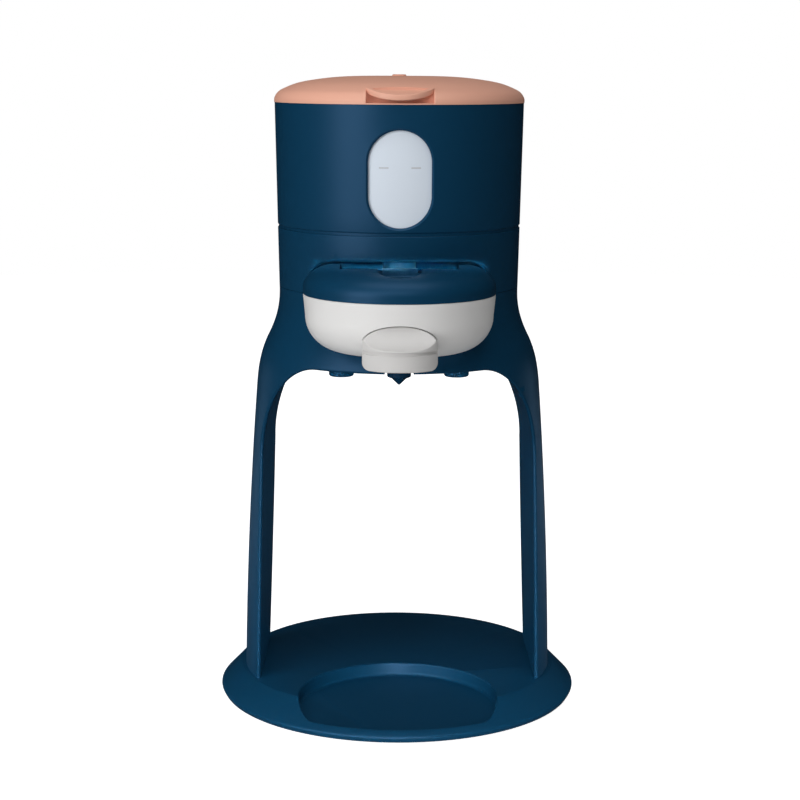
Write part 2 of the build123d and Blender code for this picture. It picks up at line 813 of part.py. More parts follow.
def stub(start, direction, length=stub_length):
    """Hose stub that stands on a face."""
    plane = Plane(start, z_dir=direction)
    return extrude(plane * Circle(stub_radius), length), extrude(plane * Circle(stub_bore), length)


def hose(points, bends):
    """Hose along straight runs and tangent bends, slipped over its stubs."""
    path = FilletPolyline(*points, radius=bends)
    start = Plane(path @ 0, z_dir=path % 0)
    outside = sweep(start * Circle(hose_radius), path)
    return outside - sweep(start * Circle(stub_radius + fit_gap / 2), path)


def pump():
    """Gear pump: motor can on a round pump head with two hose stubs."""
    low = works_floor_z + pump_pad_height
    head_top = low + pump_head_height
    head = rod(pump_head_radius, low, head_top, pump_x, pump_y)
    motor = rod(pump_motor_radius, head_top, head_top + pump_motor_height, pump_x, pump_y)
    motor = fillet(motor.faces().sort_by(Axis.Z)[-1].edges(), pump_motor_round)
    motor_top = head_top + pump_motor_height
    nose = rod(pump_nose_radius, motor_top - 1, motor_top + pump_nose_height, pump_x, pump_y)
    inlet, inlet_hole = stub((pump_x + pump_head_radius - 1, pump_y, port_z), (1, 0, 0), stub_length + 1)
    outlet, outlet_hole = stub((pump_x, pump_y - pump_head_radius + 1, port_z), (0, -1, 0), stub_length + 1)
    return head + motor + nose + inlet + outlet - inlet_hole - outlet_hole


def pump_pad():
    """Rubber pad that keeps the pump's hum off the housing."""
    return ring(pump_head_radius, pump_head_radius - pump_pad_width, works_floor_z,
                works_floor_z + pump_pad_height, pump_x, pump_y)


def heater_block():
    """Cast flow heater with ribbed flanks."""
    x0, x1 = heater_x - heater_length / 2, heater_x + heater_length / 2
    y0, y1 = heater_y - heater_width / 2, heater_y + heater_width / 2
    body = block(x0, x1, y0, y1, works_floor_z, works_floor_z + heater_height)
    pitch = heater_height / (heater_fins + 1)
    for n in range(heater_fins):
        z = works_floor_z + pitch * (n + 0.75)
        body -= block(x0 - 1, x1 + 1, y1 - heater_fin_depth, y1 + 1, z, z + pitch / 2)
    inlet, inlet_hole = stub((x0, heater_port_y, port_z), (-1, 0, 0))
    outlet, outlet_hole = stub((spray_feed_x, heater_port_y, works_floor_z + heater_height), (0, 0, 1))
    return body + inlet + outlet - inlet_hole - outlet_hole


heater_port_y = pump_y - pump_head_radius - stub_length - hose_bend - hose_start
spray_feed_x = heater_x + heater_length / 4
spray_z = band_top_z - seat_thickness - hose_radius - spray_hose_drop


def feed_hose():
    """Hose from the tank's cup to the pump."""
    top = (0, valve_y + drain_offset, cup_low_z - hose_start)
    turn_z = (cup_low_z + port_z) / 2
    points = [top, (0, valve_y + drain_offset, turn_z), (0, pump_y, port_z),
              (pump_x + pump_head_radius + hose_start, pump_y, port_z)]
    return hose(points, hose_bend)


def pump_hose():
    """Hose from the pump to the heater."""
    points = [(pump_x, pump_y - pump_head_radius - hose_start, port_z), (pump_x, heater_port_y, port_z),
              (heater_x - heater_length / 2 - hose_start, heater_port_y, port_z)]
    return hose(points, hose_bend)


def spray_hose():
    """Hose from the heater over the bay to the spray head."""
    heater_top = works_floor_z + heater_height
    points = [(spray_feed_x, heater_port_y, heater_top + hose_start), (spray_feed_x, heater_port_y, spray_z),
              (0, spray_y + spray_radius + 4 * stub_length, spray_z),
              (0, spray_y + spray_radius + hose_start, spray_z)]
    return hose(points, hose_bend)


def spray_head():
    """Outlet over the bowl: a round body with its tip through the roof of the bay."""
    roof = bowl_rim_z + cover_side_height + cover_shoulder_height + cover_crown + bay_gap + bay_wall
    top = spray_z + hose_radius
    tip = roof - bay_wall - bay_gap - rear_cover_drop + spray_gap
    body = rod(spray_radius, roof, top, 0, spray_y) + rod(spray_tip_radius, tip, roof + 1, 0, spray_y)
    inlet, inlet_hole = stub((0, spray_y + spray_radius - 1, spray_z), (0, 1, 0), stub_length + 1)
    return body + inlet - inlet_hole - rod(spray_bore, tip - 1, spray_z, 0, spray_y)


def cord_gland():
    """Bushing the power cord passes through, at the back of the head."""
    tube = extrude(Plane((0, column_y + waist_radius - gland_tail - wall, gland_z), z_dir=(0, 1, 0))
                   * Circle(gland_radius), gland_tail + wall + gland_flange + 1)
    collar = extrude(Plane((0, column_y + waist_radius - wall, gland_z), z_dir=(0, 1, 0))
                     * Circle(gland_flange_radius), wall + gland_flange + 1)
    collar = fillet(collar.faces().sort_by(Axis.Y)[-1].edges(), gland_edge)
    bore = extrude(Plane((0, column_y, gland_z), z_dir=(0, 1, 0)) * Circle(gland_bore), FAR / 2)
    return tube + (collar - column(-fit_gap / 2, plateau_z, tank_top_z)) - bore


# ---- tank ----------------------------------------------------------------------------------------
tank_low_z = band_top_z + rest_gap
sleeve_low_z = tank_low_z + tank_foot_height
hinge_y = column_y + lid_radius + hinge_radius + slide_gap
hinge_z = tank_top_z


def tank_sleeve():
    """Opaque sleeve round the tank, with the level window cut in its front."""
    body = column(0, sleeve_low_z, tank_top_z)
    body = fillet(body.faces().sort_by(Axis.Z)[0].edges(), sleeve_edge)
    body += column(tank_foot_inset, tank_low_z, sleeve_low_z + 1)
    body -= column(sleeve_wall, tank_low_z - 1, tank_top_z + 1)
    window = Pos(0, window_z) * SlotOverall(window_height, window_width, rotation=90)
    front_y = column_y - waist_radius / 2
    body -= upright(window, column_y - FAR / 4, front_y)
    half = window_width / 2 + 0.5
    rim = [e for e in body.edges() if e.center().Y < front_y and abs(e.center().X) < half
           and e.center().Z < window_z + window_height / 2 + 0.5
           and e.center().Z > window_z - window_height / 2 - 0.5]
    outer = [e for e in rim if outside_radius(e) > column_radius(e.center().Z) - sleeve_wall / 2]
    body = chamfer(outer, window_bevel)
    for side in (1, -1):
        inner = hinge_knuckle / 2 + slide_gap
        x0, x1 = sorted((side * inner, side * hinge_half))
        start_y = column_y + tank_top_radius / 2
        low = hinge_z - 4 * hinge_radius
        outline = [(start_y, hinge_z), (hinge_y, hinge_z),
                   (hinge_y + 0.8 * hinge_radius, hinge_z - 0.6 * hinge_radius),
                   (hinge_y - 2 * hinge_radius, low), (start_y, low)]
        web = upright_x(outline, hinge_half) & block(x0, x1, start_y, hinge_y + hinge_radius, 0, FAR)
        web -= column(sleeve_wall / 2, plateau_z, tank_top_z)
        body += web + Pos((x0 + x1) / 2, hinge_y, hinge_z) * Rot(0, 90, 0) * Cylinder(hinge_radius, x1 - x0)
    return body - hinge_bore(pin_gap / 5)


def outside_radius(edge):
    """Distance of an edge's middle from the column's axis."""
    middle = edge @ 0.5
    return sqrt(middle.X ** 2 + (middle.Y - column_y) ** 2)


def hinge_bore(gap):
    """Hole for the hinge pin."""
    return Pos(0, hinge_y, hinge_z) * Rot(0, 90, 0) * Cylinder(pin_radius + gap, 3 * hinge_half)


def hinge_pin():
    """Steel pin of the tank lid."""
    return Pos(0, hinge_y, hinge_z) * Rot(0, 90, 0) * Cylinder(pin_radius, 2 * hinge_half - 1)


def tank_reservoir():
    """Clear vessel inside the sleeve."""
    skin = sleeve_wall + fit_gap
    top = tank_top_z - tank_rim_drop
    body = column(skin, tank_low_z, top)
    body -= column(skin + tank_wall, tank_low_z + tank_floor, tank_top_z + 1)
    body -= rod(valve_radius + fit_gap, tank_low_z - 1, tank_low_z + tank_floor + 1, 0, valve_y)
    for side in (1, -1):
        body -= rod(lug_radius + slide_gap, tank_low_z - 1, band_top_z + lug_height + slide_gap,
                    side * lug_x, column_y)
    return body


floor_top_z = tank_low_z + tank_floor


def stem_low_z():
    """Lower end of the poppet's stem while the tank is seated."""
    return valve_low_z + valve_lift - valve_lip


def valve_body():
    """Valve housing screwed into the tank's floor."""
    body = rod(valve_radius, valve_low_z, floor_top_z + valve_flange, 0, valve_y)
    body += rod(valve_flange_radius, floor_top_z, floor_top_z + valve_flange, 0, valve_y)
    body -= rod(valve_bore, valve_low_z + valve_lip, floor_top_z + valve_flange + 1, 0, valve_y)
    body -= rod(valve_port, valve_low_z - 1, valve_low_z + valve_lip + 1, 0, valve_y)
    bar_z = floor_top_z + valve_flange / 2
    bar = block(-valve_radius, valve_radius, valve_y - valve_bar_half, valve_y + valve_bar_half, bar_z,
                floor_top_z + valve_flange)
    return body + bar


def valve_poppet():
    """Valve plate with a stem that the cup's pin pushes up."""
    plate_low = valve_low_z + valve_lip + valve_lift
    body = rod(poppet_radius, plate_low, plate_low + poppet_thickness, 0, valve_y)
    body += rod(stem_radius, stem_low_z(), plate_low + 1, 0, valve_y)
    guide_top = plate_low + poppet_thickness + poppet_guide
    return body + rod(spring_radius - 2 * spring_wire, plate_low, guide_top, 0, valve_y)


def valve_spring():
    """Spring that closes the valve when the tank is lifted."""
    low = valve_low_z + valve_lip + valve_lift + poppet_thickness + spring_wire + fit_gap
    high = floor_top_z + valve_flange / 2 - spring_wire - fit_gap
    path = Helix(pitch=(high - low) / spring_turns, height=high - low, radius=spring_radius,
                 center=(0, valve_y, low))
    wire = sweep(Plane(path @ 0, z_dir=path % 0) * RegularPolygon(spring_wire, 6), path, is_frenet=True)
    return wire


# ---- tank lid ------------------------------------------------------------------------------------
def lid_form(inset):
    """Turned dome of the lid, its outside moved in by inset."""
    radius = lid_radius - inset
    crown = lid_low_z + lid_height - inset
    rim = (radius, lid_low_z + lid_rim_height - inset)
    points = [(0, crown)] + [(r * radius, lid_low_z + h * lid_height - inset) for r, h in lid_shape] + [rim]
    dome = Spline(*points, tangents=[(1, 0), (0, -1)])
    low = lid_low_z - inset
    return turned(dome + Polyline(rim, (radius, low), (0, low), (0, crown)), column_y)


def upright_x(points, half):
    """Outline drawn in depth and height, pushed out to both sides."""
    return extrude(Plane.YZ * make_face(Polyline(*points, close=True)), half, both=True)


def tab_prism(inset):
    """D shape of the finger tab, flat at its back, as an upright prism."""
    back = column_y - tab_back
    front = column_y - tab_reach + inset
    half = tab_half - inset
    arc = ThreePointArc((-half, back - tab_corner), (0, front), (half, back - tab_corner))
    side = Polyline((half, back - tab_corner), (half, back), (-half, back), (-half, back - tab_corner))
    return extrude(make_face(arc + side), FAR)


def tab_layer(top, bottom):
    """Everything between two depths under the tab's sloping top."""
    back = column_y - tab_back
    front = column_y - tab_reach - 1
    slope = tab_slope * (back - front)
    return upright_x([(back, tab_z - top), (front, tab_z - top - slope),
                      (front, tab_z - bottom - slope), (back, tab_z - bottom)], tab_half)


lid_low_z = tank_top_z + rest_gap
tab_z = lid_low_z + tab_height
plug_radius = column_radius(tank_top_z) - sleeve_wall - fit_gap - tank_wall - plug_gap


def tank_lid():
    """Domed lid with a finger tab at the front and a hinge at the back."""
    body = lid_form(0) - lid_form(lid_wall)
    low = lid_low_z - plug_depth
    plug = ring(plug_radius, plug_radius - plug_wall, low, lid_low_z + lid_height, 0, column_y)
    body += plug & (lid_form(lid_wall / 2) + rod(plug_radius, low, lid_low_z, 0, column_y))
    groove = low + gasket_rise
    body -= ring(plug_radius + 1, plug_radius - gasket_depth, groove, groove + gasket_height, 0, column_y)
    back = column_y - tab_back
    front = column_y - tab_reach
    around = block(-tab_half - lid_wall, tab_half + lid_wall, front, back + lid_wall, lid_low_z, FAR)
    body += around & lid_form(0)
    body -= block(-tab_half, tab_half, front - 1, back - tab_root, lid_low_z + tab_floor, FAR)
    body += tab_prism(0) & tab_layer(0, tab_thickness)
    lips = [e for e in body.edges()
            if e.geom_type == GeomType.ELLIPSE and e.bounding_box().min.Y < front + tab_round]
    sides = [e for e in body.edges()
             if e.bounding_box().size.X < fit_gap and abs(abs(e.center().X) - tab_half) < fit_gap
             and e.bounding_box().size.Y > tab_edge and e.bounding_box().max.Y < back
             and e.bounding_box().max.Z > lid_low_z + tab_height / 2]
    body = fillet(lips + sides, tab_round)
    body -= tab_prism(tab_edge) & tab_layer(-lid_height, tab_dish)
    body += vent()
    knuckle = Pos(0, hinge_y, hinge_z) * Rot(0, 90, 0) * Cylinder(hinge_radius, hinge_knuckle)
    web = block(-hinge_knuckle / 2, hinge_knuckle / 2, hinge_y - 3 * hinge_radius, hinge_y,
                lid_low_z + rest_gap, hinge_z + hinge_radius - rest_gap)
    body += knuckle + (web - lid_form(lid_wall / 2))
    return body - hinge_bore(pin_gap)


def vent():
    """Low round vent on the crown, its edge rounded."""
    top = lid_low_z + lid_height
    button = rod(vent_radius, top - lid_wall / 2, top + vent_rise)
    return Pos(0, column_y + vent_back, 0) * fillet(button.faces().sort_by(Axis.Z)[-1].edges(), vent_round)


def lid_gasket():
    """Silicone ring on the lid's plug."""
    low = lid_low_z - plug_depth + gasket_rise + fit_gap / 2
    return ring(plug_radius + plug_gap / 2, plug_radius - gasket_depth + fit_gap / 2, low,
                low + gasket_height - fit_gap, 0, column_y)


# ---- drawer --------------------------------------------------------------------------------------
def handle_outline(grow):
    """Front view of the handle: square foot with round corners, half an ellipse on top."""
    half = handle_half + grow
    top = handle_arch + grow
    low = handle_bottom_z - grow
    foot = Pos(0, (low + handle_side_z) / 2) * Rectangle(2 * half, handle_side_z - low)
    corners = foot.vertices().group_by(Axis.Y)[0]
    foot = fillet(corners, handle_corner + grow)
    arch_top = make_face(EllipticalCenterArc((0, handle_side_z), half, top, 0, arc_size=180)
                         + Line((-half, handle_side_z), (half, handle_side_z)))
    return foot + arch_top


def mixing_bowl():
    """White bowl with a funnel floor, a collar for the nozzle and a pocket for the handle."""
    rim_cut = slab(bowl_bottom_z - 1, bowl_rim_z)
    body = drawer_solid(0) & rim_cut
    inner = turned(bowl_inside_outline(), dispense_y)
    pad = upright(handle_outline(bowl_wall), dispense_y - bowl_rim_radius - 1, dispense_y - handle_pocket
                  + bowl_wall)
    body -= inner - (pad & slab(bowl_bottom_z + bowl_wall, bowl_rim_z - lid_plug_depth - 1))
    body -= upright(handle_outline(handle_gap), dispense_y - FAR / 4, dispense_y - handle_pocket)
    body -= rod(spigot_radius + fit_gap, bowl_bottom_z - 1, bowl_rim_z, 0, dispense_y)
    rim = [e for e in body.edges() if e.bounding_box().min.Z > bowl_rim_z - fit_gap
           and e.bounding_box().max.X > bowl_rim_radius - bowl_wall / 2]
    return fillet(rim, bowl_edge)


def bowl_inside_outline():
    """Closed outline of the bowl's hollow."""
    flat = bowl_side_radius - bowl_round
    knee = bowl_bottom_z + bowl_round
    side = bowl_side_radius - bowl_wall
    floor_z = bowl_bottom_z + bowl_wall + bowl_funnel
    low = Polyline((0, floor_z - bowl_funnel), (spigot_radius, floor_z - bowl_funnel), (flat, floor_z))
    rounding = EllipticalCenterArc((flat, knee), side - flat, knee - floor_z, -90, arc_size=90)
    top = Polyline((side, knee), (bowl_rim_radius - bowl_wall, bowl_rim_z),
                   (bowl_rim_radius - bowl_wall, bowl_rim_z + 5), (0, bowl_rim_z + 5),
                   (0, floor_z - bowl_funnel))
    return low + rounding + top


def bowl_handle():
    """Grip set into the front of the bowl, with a thumb scoop over its lip."""
    front = dispense_y - handle_reach
    pocket = dispense_y - handle_pocket
    grip = upright(handle_outline(0), dispense_y - FAR / 4, pocket - fit_gap)
    nose = rod(handle_front_round, handle_bottom_z - 1, handle_side_z + handle_arch + 1, 0,
               front + handle_front_round)
    skin = drawer_solid(0)
    below = slab(handle_bottom_z - 1, handle_side_z + handle_arch + 1)
    body = grip & (nose + skin) & below
    scoop_z = lip_z + scoop_radius
    scoop = Pos(0, front - 1, scoop_z) * Rot(0, 90, 0) * Cylinder(scoop_radius, 4 * handle_half)
    body -= scoop
    over = scoop_radius / 2
    body -= block(-FAR / 4, FAR / 4, front - over, front + scoop_radius * 0.15, scoop_z - over / 2,
                  scoop_z + FAR / 10)
    band = ring(FAR / 4, handle_front_round - lip_overhang, lip_z - lip_height, lip_z - lip_thickness, 0,
                front + handle_front_round)
    band &= block(-FAR / 4, FAR / 4, front - over, dispense_y - bowl_rim_radius + 1, handle_bottom_z, lip_z)
    edges = [e for e in body.edges()
             if e.bounding_box().max.Y < pocket - handle_edge
             and (e.geom_type == GeomType.BSPLINE or e.bounding_box().max.Z < handle_bottom_z + fit_gap)]
    return fillet(edges, handle_edge) - band


def outlet_nozzle():
    """Blue spout plugged into the bowl's floor, its cone pierced by four holes."""
    low = nozzle_end_z
    cone_z = low - nozzle_shoulder_height
    tip_z = cone_z - nozzle_cone_height
    outline = Polyline((0, bowl_bottom_z), (nozzle_radius, bowl_bottom_z), (nozzle_radius, low),
                       (nozzle_cone_radius, cone_z), (nozzle_tip_radius, tip_z), (0, tip_z),
                       (0, bowl_bottom_z))
    body = turned(outline, dispense_y)
    shoulder = [e for e in body.edges() if abs(e.bounding_box().max.Z - low) < fit_gap
                and e.bounding_box().size.Z < fit_gap]
    body = fillet(shoulder, nozzle_shoulder_round)
    body += rod(spigot_radius, bowl_bottom_z - 1, bowl_bottom_z + bowl_wall - fit_gap, 0, dispense_y)
    body -= rod(nozzle_bore, low + 2, bowl_bottom_z + bowl_wall + 1, 0, dispense_y)
    for n in range(outlet_holes):
        angle = radians(45 + 360 * n / outlet_holes)
        reach = nozzle_bore - 1.8 * outlet_hole_radius
        x, y = reach * cos(angle), dispense_y + reach * sin(angle)
        body -= rod(outlet_hole_radius, tip_z - 1, low + 3, x, y)
    return body


def nozzle_seal():
    """Rubber ring between spout and bowl."""
    inner = nozzle_radius + fit_gap
    outer = nozzle_radius + nozzle_seal_width
    return ring(outer, inner, bowl_bottom_z - nozzle_seal_height, bowl_bottom_z, 0, dispense_y)


def behind_lid(shrink):
    """The room behind the powder lid: under the head, and the finger gap before it."""
    face = column_radius(bowl_rim_z) + lid_head_gap - shrink
    low = bowl_rim_z - 9
    line_y = dispense_y - lid_parting + shrink
    half = lid_parting_half - shrink
    return rod(face, low, tank_top_z, 0, column_y) + block(-half, half, line_y, column_y, low, tank_top_z)


collar_inner = bowl_rim_radius - bowl_wall - slide_gap - lid_plug_wall


def cover_shell(top_drop):
    """Turned skin of the covers over the bowl, with a collar that drops into the bowl."""
    above = slab(bowl_rim_z + rest_gap, tank_top_z)
    skin = (drawer_solid(0, top_drop) & above) - drawer_solid(-cover_wall, top_drop)
    outer = bowl_rim_radius - bowl_wall - slide_gap
    top = bowl_rim_z + cover_side_height
    collar = ring(outer, collar_inner, bowl_rim_z - lid_plug_depth, top, 0, dispense_y)
    root = ring(bowl_rim_radius - cover_wall / 2, collar_inner, bowl_rim_z + rest_gap, top, 0, dispense_y)
    return skin + collar + root


def thumb_prism(grow, low):
    """Outline of the thumb recess, round at its front, as an upright prism."""
    half = thumb_half + grow
    back = dispense_y - lid_parting - lid_skirt + grow
    middle = dispense_y - thumb_reach + thumb_half
    return block(-half, half, middle, back, low, tank_top_z) + rod(half, low, tank_top_z, 0, middle)


def powder_lid():
    """Front cover of the bowl, gripped by its back edge and a thumb recess."""
    body = cover_shell(0) - behind_lid(0)
    skirt = (behind_lid(-lid_skirt) - behind_lid(0)) & drawer_solid(-cover_wall / 2)
    body += skirt - drawer_solid(slide_gap, rear_cover_drop)
    floor_z = bowl_rim_z + cover_side_height + cover_shoulder_height - thumb_depth
    body += thumb_prism(thumb_wall, floor_z - thumb_wall) & drawer_solid(0) - behind_lid(0)
    body -= thumb_prism(0, floor_z)
    floor = [e for e in body.edges()
             if e.bounding_box().size.Z < fit_gap and abs(e.center().Z - floor_z) < fit_gap
             and e.bounding_box().max.X < thumb_half + fit_gap]
    body = fillet(floor, thumb_round)
    line_y = dispense_y - lid_parting
    top = floor_z + thumb_depth
    notch_y = line_y - lid_skirt - fit_gap
    for side in (1, -1):
        x0, x1 = sorted((side * edge_notch_start, side * (edge_notch_start + edge_notch)))
        body -= block(x0, x1, notch_y, line_y + 1, top - edge_notch_depth, tank_top_z)
    upper = [e for e in body.edges()
             if line_y - fit_gap < e.bounding_box().min.Y and e.bounding_box().max.Y < line_y + fit_gap
             and e.bounding_box().min.Z > top - lid_edge and e.bounding_box().size.X > edge_notch]
    return fillet(upper, lid_edge)


def bowl_cover():
    """Rear cover of the bowl, with the hole the hot water falls through."""
    body = cover_shell(rear_cover_drop) & behind_lid(slide_gap)
    flange = behind_lid(-shelf_depth) & drawer_solid(0, rear_cover_drop)
    flange -= drawer_solid(-cover_wall, rear_cover_drop)
    flange &= drawer_solid(-cover_wall - 2 * slide_gap, 0)
    flange &= rod(collar_inner - slide_gap, bowl_rim_z, tank_top_z, 0, dispense_y)
    body += flange
    return body - rod(water_hole_radius, bowl_rim_z, tank_top_z, 0, spray_y)


# ---- write every node ----------------------------------------------------------------------------
nodes = {
    "base_plate": base_plate, "base_cover": base_cover, "rubber_feet": rubber_feet,
    "base_cover_screws": base_cover_screws, "leg_screws": leg_screws,
    "arch_frame": arch_frame, "inner_arch": inner_arch, "underside_screws": underside_screws,
    "drawer_bay": drawer_bay, "head_band": head_band, "tank_seat": tank_seat,
    "seat_screws": seat_screws, "inlet_seal": inlet_seal, "control_panel": control_panel,
    "control_board": control_board, "pump": pump, "pump_pad": pump_pad, "heater_block": heater_block,
    "feed_hose": feed_hose, "pump_hose": pump_hose, "spray_hose": spray_hose,
    "spray_head": spray_head, "cord_gland": cord_gland,
    "tank_sleeve": tank_sleeve, "tank_reservoir": tank_reservoir, "hinge_pin": hinge_pin,
    "valve_body": valve_body, "valve_spring": valve_spring, "valve_poppet": valve_poppet,
    "tank_lid": tank_lid, "lid_gasket": lid_gasket,
    "mixing_bowl": mixing_bowl, "bowl_handle": bowl_handle, "outlet_nozzle": outlet_nozzle,
    "nozzle_seal": nozzle_seal, "bowl_cover": bowl_cover, "powder_lid": powder_lid,
}

os.makedirs("parts", exist_ok=True)
for name, make in nodes.items():
    export_step(make(), f"parts/{name}.step")
for index in range(button_count):
    export_step(button(index), f"parts/button_{index + 1}.step")
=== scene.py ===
"""Baby formula maker: navy base, legs and head, white mixing bowl, rose gold tank lid."""
import bmesh
import bpy
from math import cos, radians, sin
from mathutils import Matrix, Vector


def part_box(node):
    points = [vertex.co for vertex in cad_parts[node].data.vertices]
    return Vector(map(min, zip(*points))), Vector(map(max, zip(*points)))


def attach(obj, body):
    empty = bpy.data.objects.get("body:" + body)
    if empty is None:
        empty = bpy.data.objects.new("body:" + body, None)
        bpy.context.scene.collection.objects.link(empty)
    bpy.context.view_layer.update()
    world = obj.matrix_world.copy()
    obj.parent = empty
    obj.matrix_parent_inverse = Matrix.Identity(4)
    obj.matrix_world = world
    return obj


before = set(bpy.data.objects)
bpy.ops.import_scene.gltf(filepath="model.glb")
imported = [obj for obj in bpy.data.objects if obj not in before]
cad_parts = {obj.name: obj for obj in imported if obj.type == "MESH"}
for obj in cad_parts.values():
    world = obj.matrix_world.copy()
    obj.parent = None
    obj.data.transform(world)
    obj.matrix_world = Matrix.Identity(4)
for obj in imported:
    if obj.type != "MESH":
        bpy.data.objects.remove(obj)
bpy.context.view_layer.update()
MM = 0.001


# ---- Rubber feet ---------------------------------------------------------------------------------
# Five black rubber pads, glued into pockets of the base cover, carry the machine on a worktop. Their
# skin is dry and a little mottled. The group below draws such a skin, finer or coarser, for every
# moulding.
def new_skin(name, *dials):
    """Group for the skin of a surface, with its sockets and the place that patterns follow."""
    group = bpy.data.node_groups.new(name, "ShaderNodeTree")
    face = group.interface
    face.new_socket("Colour", in_out="INPUT", socket_type="NodeSocketColor")
    for dial in dials:
        face.new_socket(dial, in_out="INPUT", socket_type="NodeSocketFloat")
    face.new_socket("Colour", in_out="OUTPUT", socket_type="NodeSocketColor")
    face.new_socket("Roughness", in_out="OUTPUT", socket_type="NodeSocketFloat")
    face.new_socket("Height", in_out="OUTPUT", socket_type="NodeSocketFloat")
    given = group.nodes.new("NodeGroupInput").outputs
    result = group.nodes.new("NodeGroupOutput").inputs
    place = group.nodes.new("ShaderNodeTexCoord").outputs["Object"]
    return group, given, result, place


def maths(tree, operation, *values):
    """Math node fed in order by numbers or by other nodes' sockets."""
    node = tree.nodes.new("ShaderNodeMath")
    node.operation = operation
    for socket, value in zip(node.inputs, values):
        if isinstance(value, bpy.types.NodeSocket):
            tree.links.new(value, socket)
        else:
            socket.default_value = value
    return node.outputs[0]


def shaded(tree, colour, shade):
    """Colour made lighter above a shade of one and darker below it."""
    tinted = tree.nodes.new("ShaderNodeHueSaturation")
    tree.links.new(shade, tinted.inputs["Value"])
    tree.links.new(colour, tinted.inputs["Color"])
    return tinted.outputs["Color"]


def moulding_skin():
    """Fine even grain, with a gloss and a shade that drift over the surface."""
    dials = ("Roughness", "Grains a metre", "Gloss change", "Shade change")
    group, given, result, place = new_skin("moulding skin", *dials)
    grain = group.nodes.new("ShaderNodeTexNoise")
    grain.inputs["Detail"].default_value = 2.0
    group.links.new(place, grain.inputs["Vector"])
    group.links.new(given["Grains a metre"], grain.inputs["Scale"])
    group.links.new(grain.outputs["Fac"], result["Height"])

    patches = group.nodes.new("ShaderNodeTexNoise")
    patches.inputs["Scale"].default_value = 16.0
    patches.inputs["Detail"].default_value = 5.0
    group.links.new(place, patches.inputs["Vector"])
    drift = maths(group, "SUBTRACT", patches.outputs["Fac"], 0.5)
    gloss = maths(group, "MULTIPLY_ADD", drift, given["Gloss change"], given["Roughness"])
    shade = maths(group, "MULTIPLY_ADD", drift, given["Shade change"], 1.0)
    group.links.new(gloss, result["Roughness"])
    group.links.new(shaded(group, given["Colour"], shade), result["Colour"])
    return group


def skinned(name, group, colour, dials, relief, depth):
    """Material whose shader takes colour, roughness and bump from a skin group."""
    made = bpy.data.materials.new(name)
    made.use_nodes = True
    nodes, links = made.node_tree.nodes, made.node_tree.links
    surface = nodes["Principled BSDF"].inputs
    skin = nodes.new("ShaderNodeGroup")
    skin.node_tree = group
    skin.inputs["Colour"].default_value = (*colour, 1.0)
    for dial, value in dials.items():
        skin.inputs[dial].default_value = value
    links.new(skin.outputs["Colour"], surface["Base Color"])
    links.new(skin.outputs["Roughness"], surface["Roughness"])
    bump = nodes.new("ShaderNodeBump")
    bump.inputs["Strength"].default_value = relief
    bump.inputs["Distance"].default_value = depth
    links.new(skin.outputs["Height"], bump.inputs["Height"])
    links.new(bump.outputs["Normal"], surface["Normal"])
    return made, surface


moulding_group = moulding_skin()
moulding_gloss_change = 0.06
moulding_grain_depth = 0.03 * MM


def moulded(name, colour, roughness, grains=2400.0, relief=0.08, shade_change=0.05, specular=0.5,
            tint=(1, 1, 1), coat=0.0):
    """Material of a plastic, rubber or lacquered part."""
    dials = {"Roughness": roughness, "Grains a metre": grains, "Gloss change": moulding_gloss_change,
             "Shade change": shade_change}
    made, surface = skinned(name, moulding_group, colour, dials, relief, moulding_grain_depth)
    surface["Specular IOR Level"].default_value = specular
    surface["Specular Tint"].default_value = (*tint, 1.0)
    surface["Coat Weight"].default_value = coat
    surface["Coat Roughness"].default_value = 0.2
    return made


weld_gap = 0.001 * MM
edge_angle = radians(28.0)


def dress(material, *names):
    """Gives nodes their material, and smooth shading that stops at their edges."""
    for name in names:
        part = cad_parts[name]
        part.data.materials.clear()
        part.data.materials.append(material)
        joined = part.modifiers.new("joined", "WELD")
        joined.merge_threshold = weld_gap
        for face in part.data.polygons:
            face.use_smooth = True
        edges = part.modifiers.new("edges", "EDGE_SPLIT")
        edges.split_angle = edge_angle


rubber = moulded("black rubber", (0.018, 0.018, 0.018), 0.78, grains=1400.0, relief=0.3,
                 shade_change=0.3, specular=0.3)
dress(rubber, "rubber_feet")


# ---- Base cover and its screws -------------------------------------------------------------------
# The cover is a plain black moulding that closes the base from below. Five zinc plated steel screws
# hold it. Zinc plating and cast metal share a cloudy skin with a fine grain.
def metal_skin():
    """Cells of lighter and darker metal, duller where they are darker, under a fine grain."""
    dials = ("Roughness", "Clouds a metre", "Cloud depth")
    group, given, result, place = new_skin("metal skin", *dials)
    clouds = group.nodes.new("ShaderNodeTexVoronoi")
    group.links.new(place, clouds.inputs["Vector"])
    group.links.new(given["Clouds a metre"], clouds.inputs["Scale"])
    cloud = clouds.outputs["Distance"]
    shade = maths(group, "MULTIPLY_ADD", cloud, given["Cloud depth"], 1.0)
    dulling = 0.15
    gloss = maths(group, "MULTIPLY_ADD", cloud, dulling, given["Roughness"])
    group.links.new(shaded(group, given["Colour"], shade), result["Colour"])
    group.links.new(gloss, result["Roughness"])

    grain = group.nodes.new("ShaderNodeTexNoise")
    grain.inputs["Scale"].default_value = 3200.0
    grain.inputs["Detail"].default_value = 3.0
    group.links.new(place, grain.inputs["Vector"])
    group.links.new(grain.outputs["Fac"], result["Height"])
    return group


metal_group = metal_skin()
metal_grain_depth = 0.02 * MM


def plated(name, colour, roughness, clouds, cloud_depth, relief):
    """Material of a bare, cast or plated metal part."""
    dials = {"Roughness": roughness, "Clouds a metre": clouds, "Cloud depth": cloud_depth}
    made, surface = skinned(name, metal_group, colour, dials, relief, metal_grain_depth)
    surface["Metallic"].default_value = 1.0
    return made


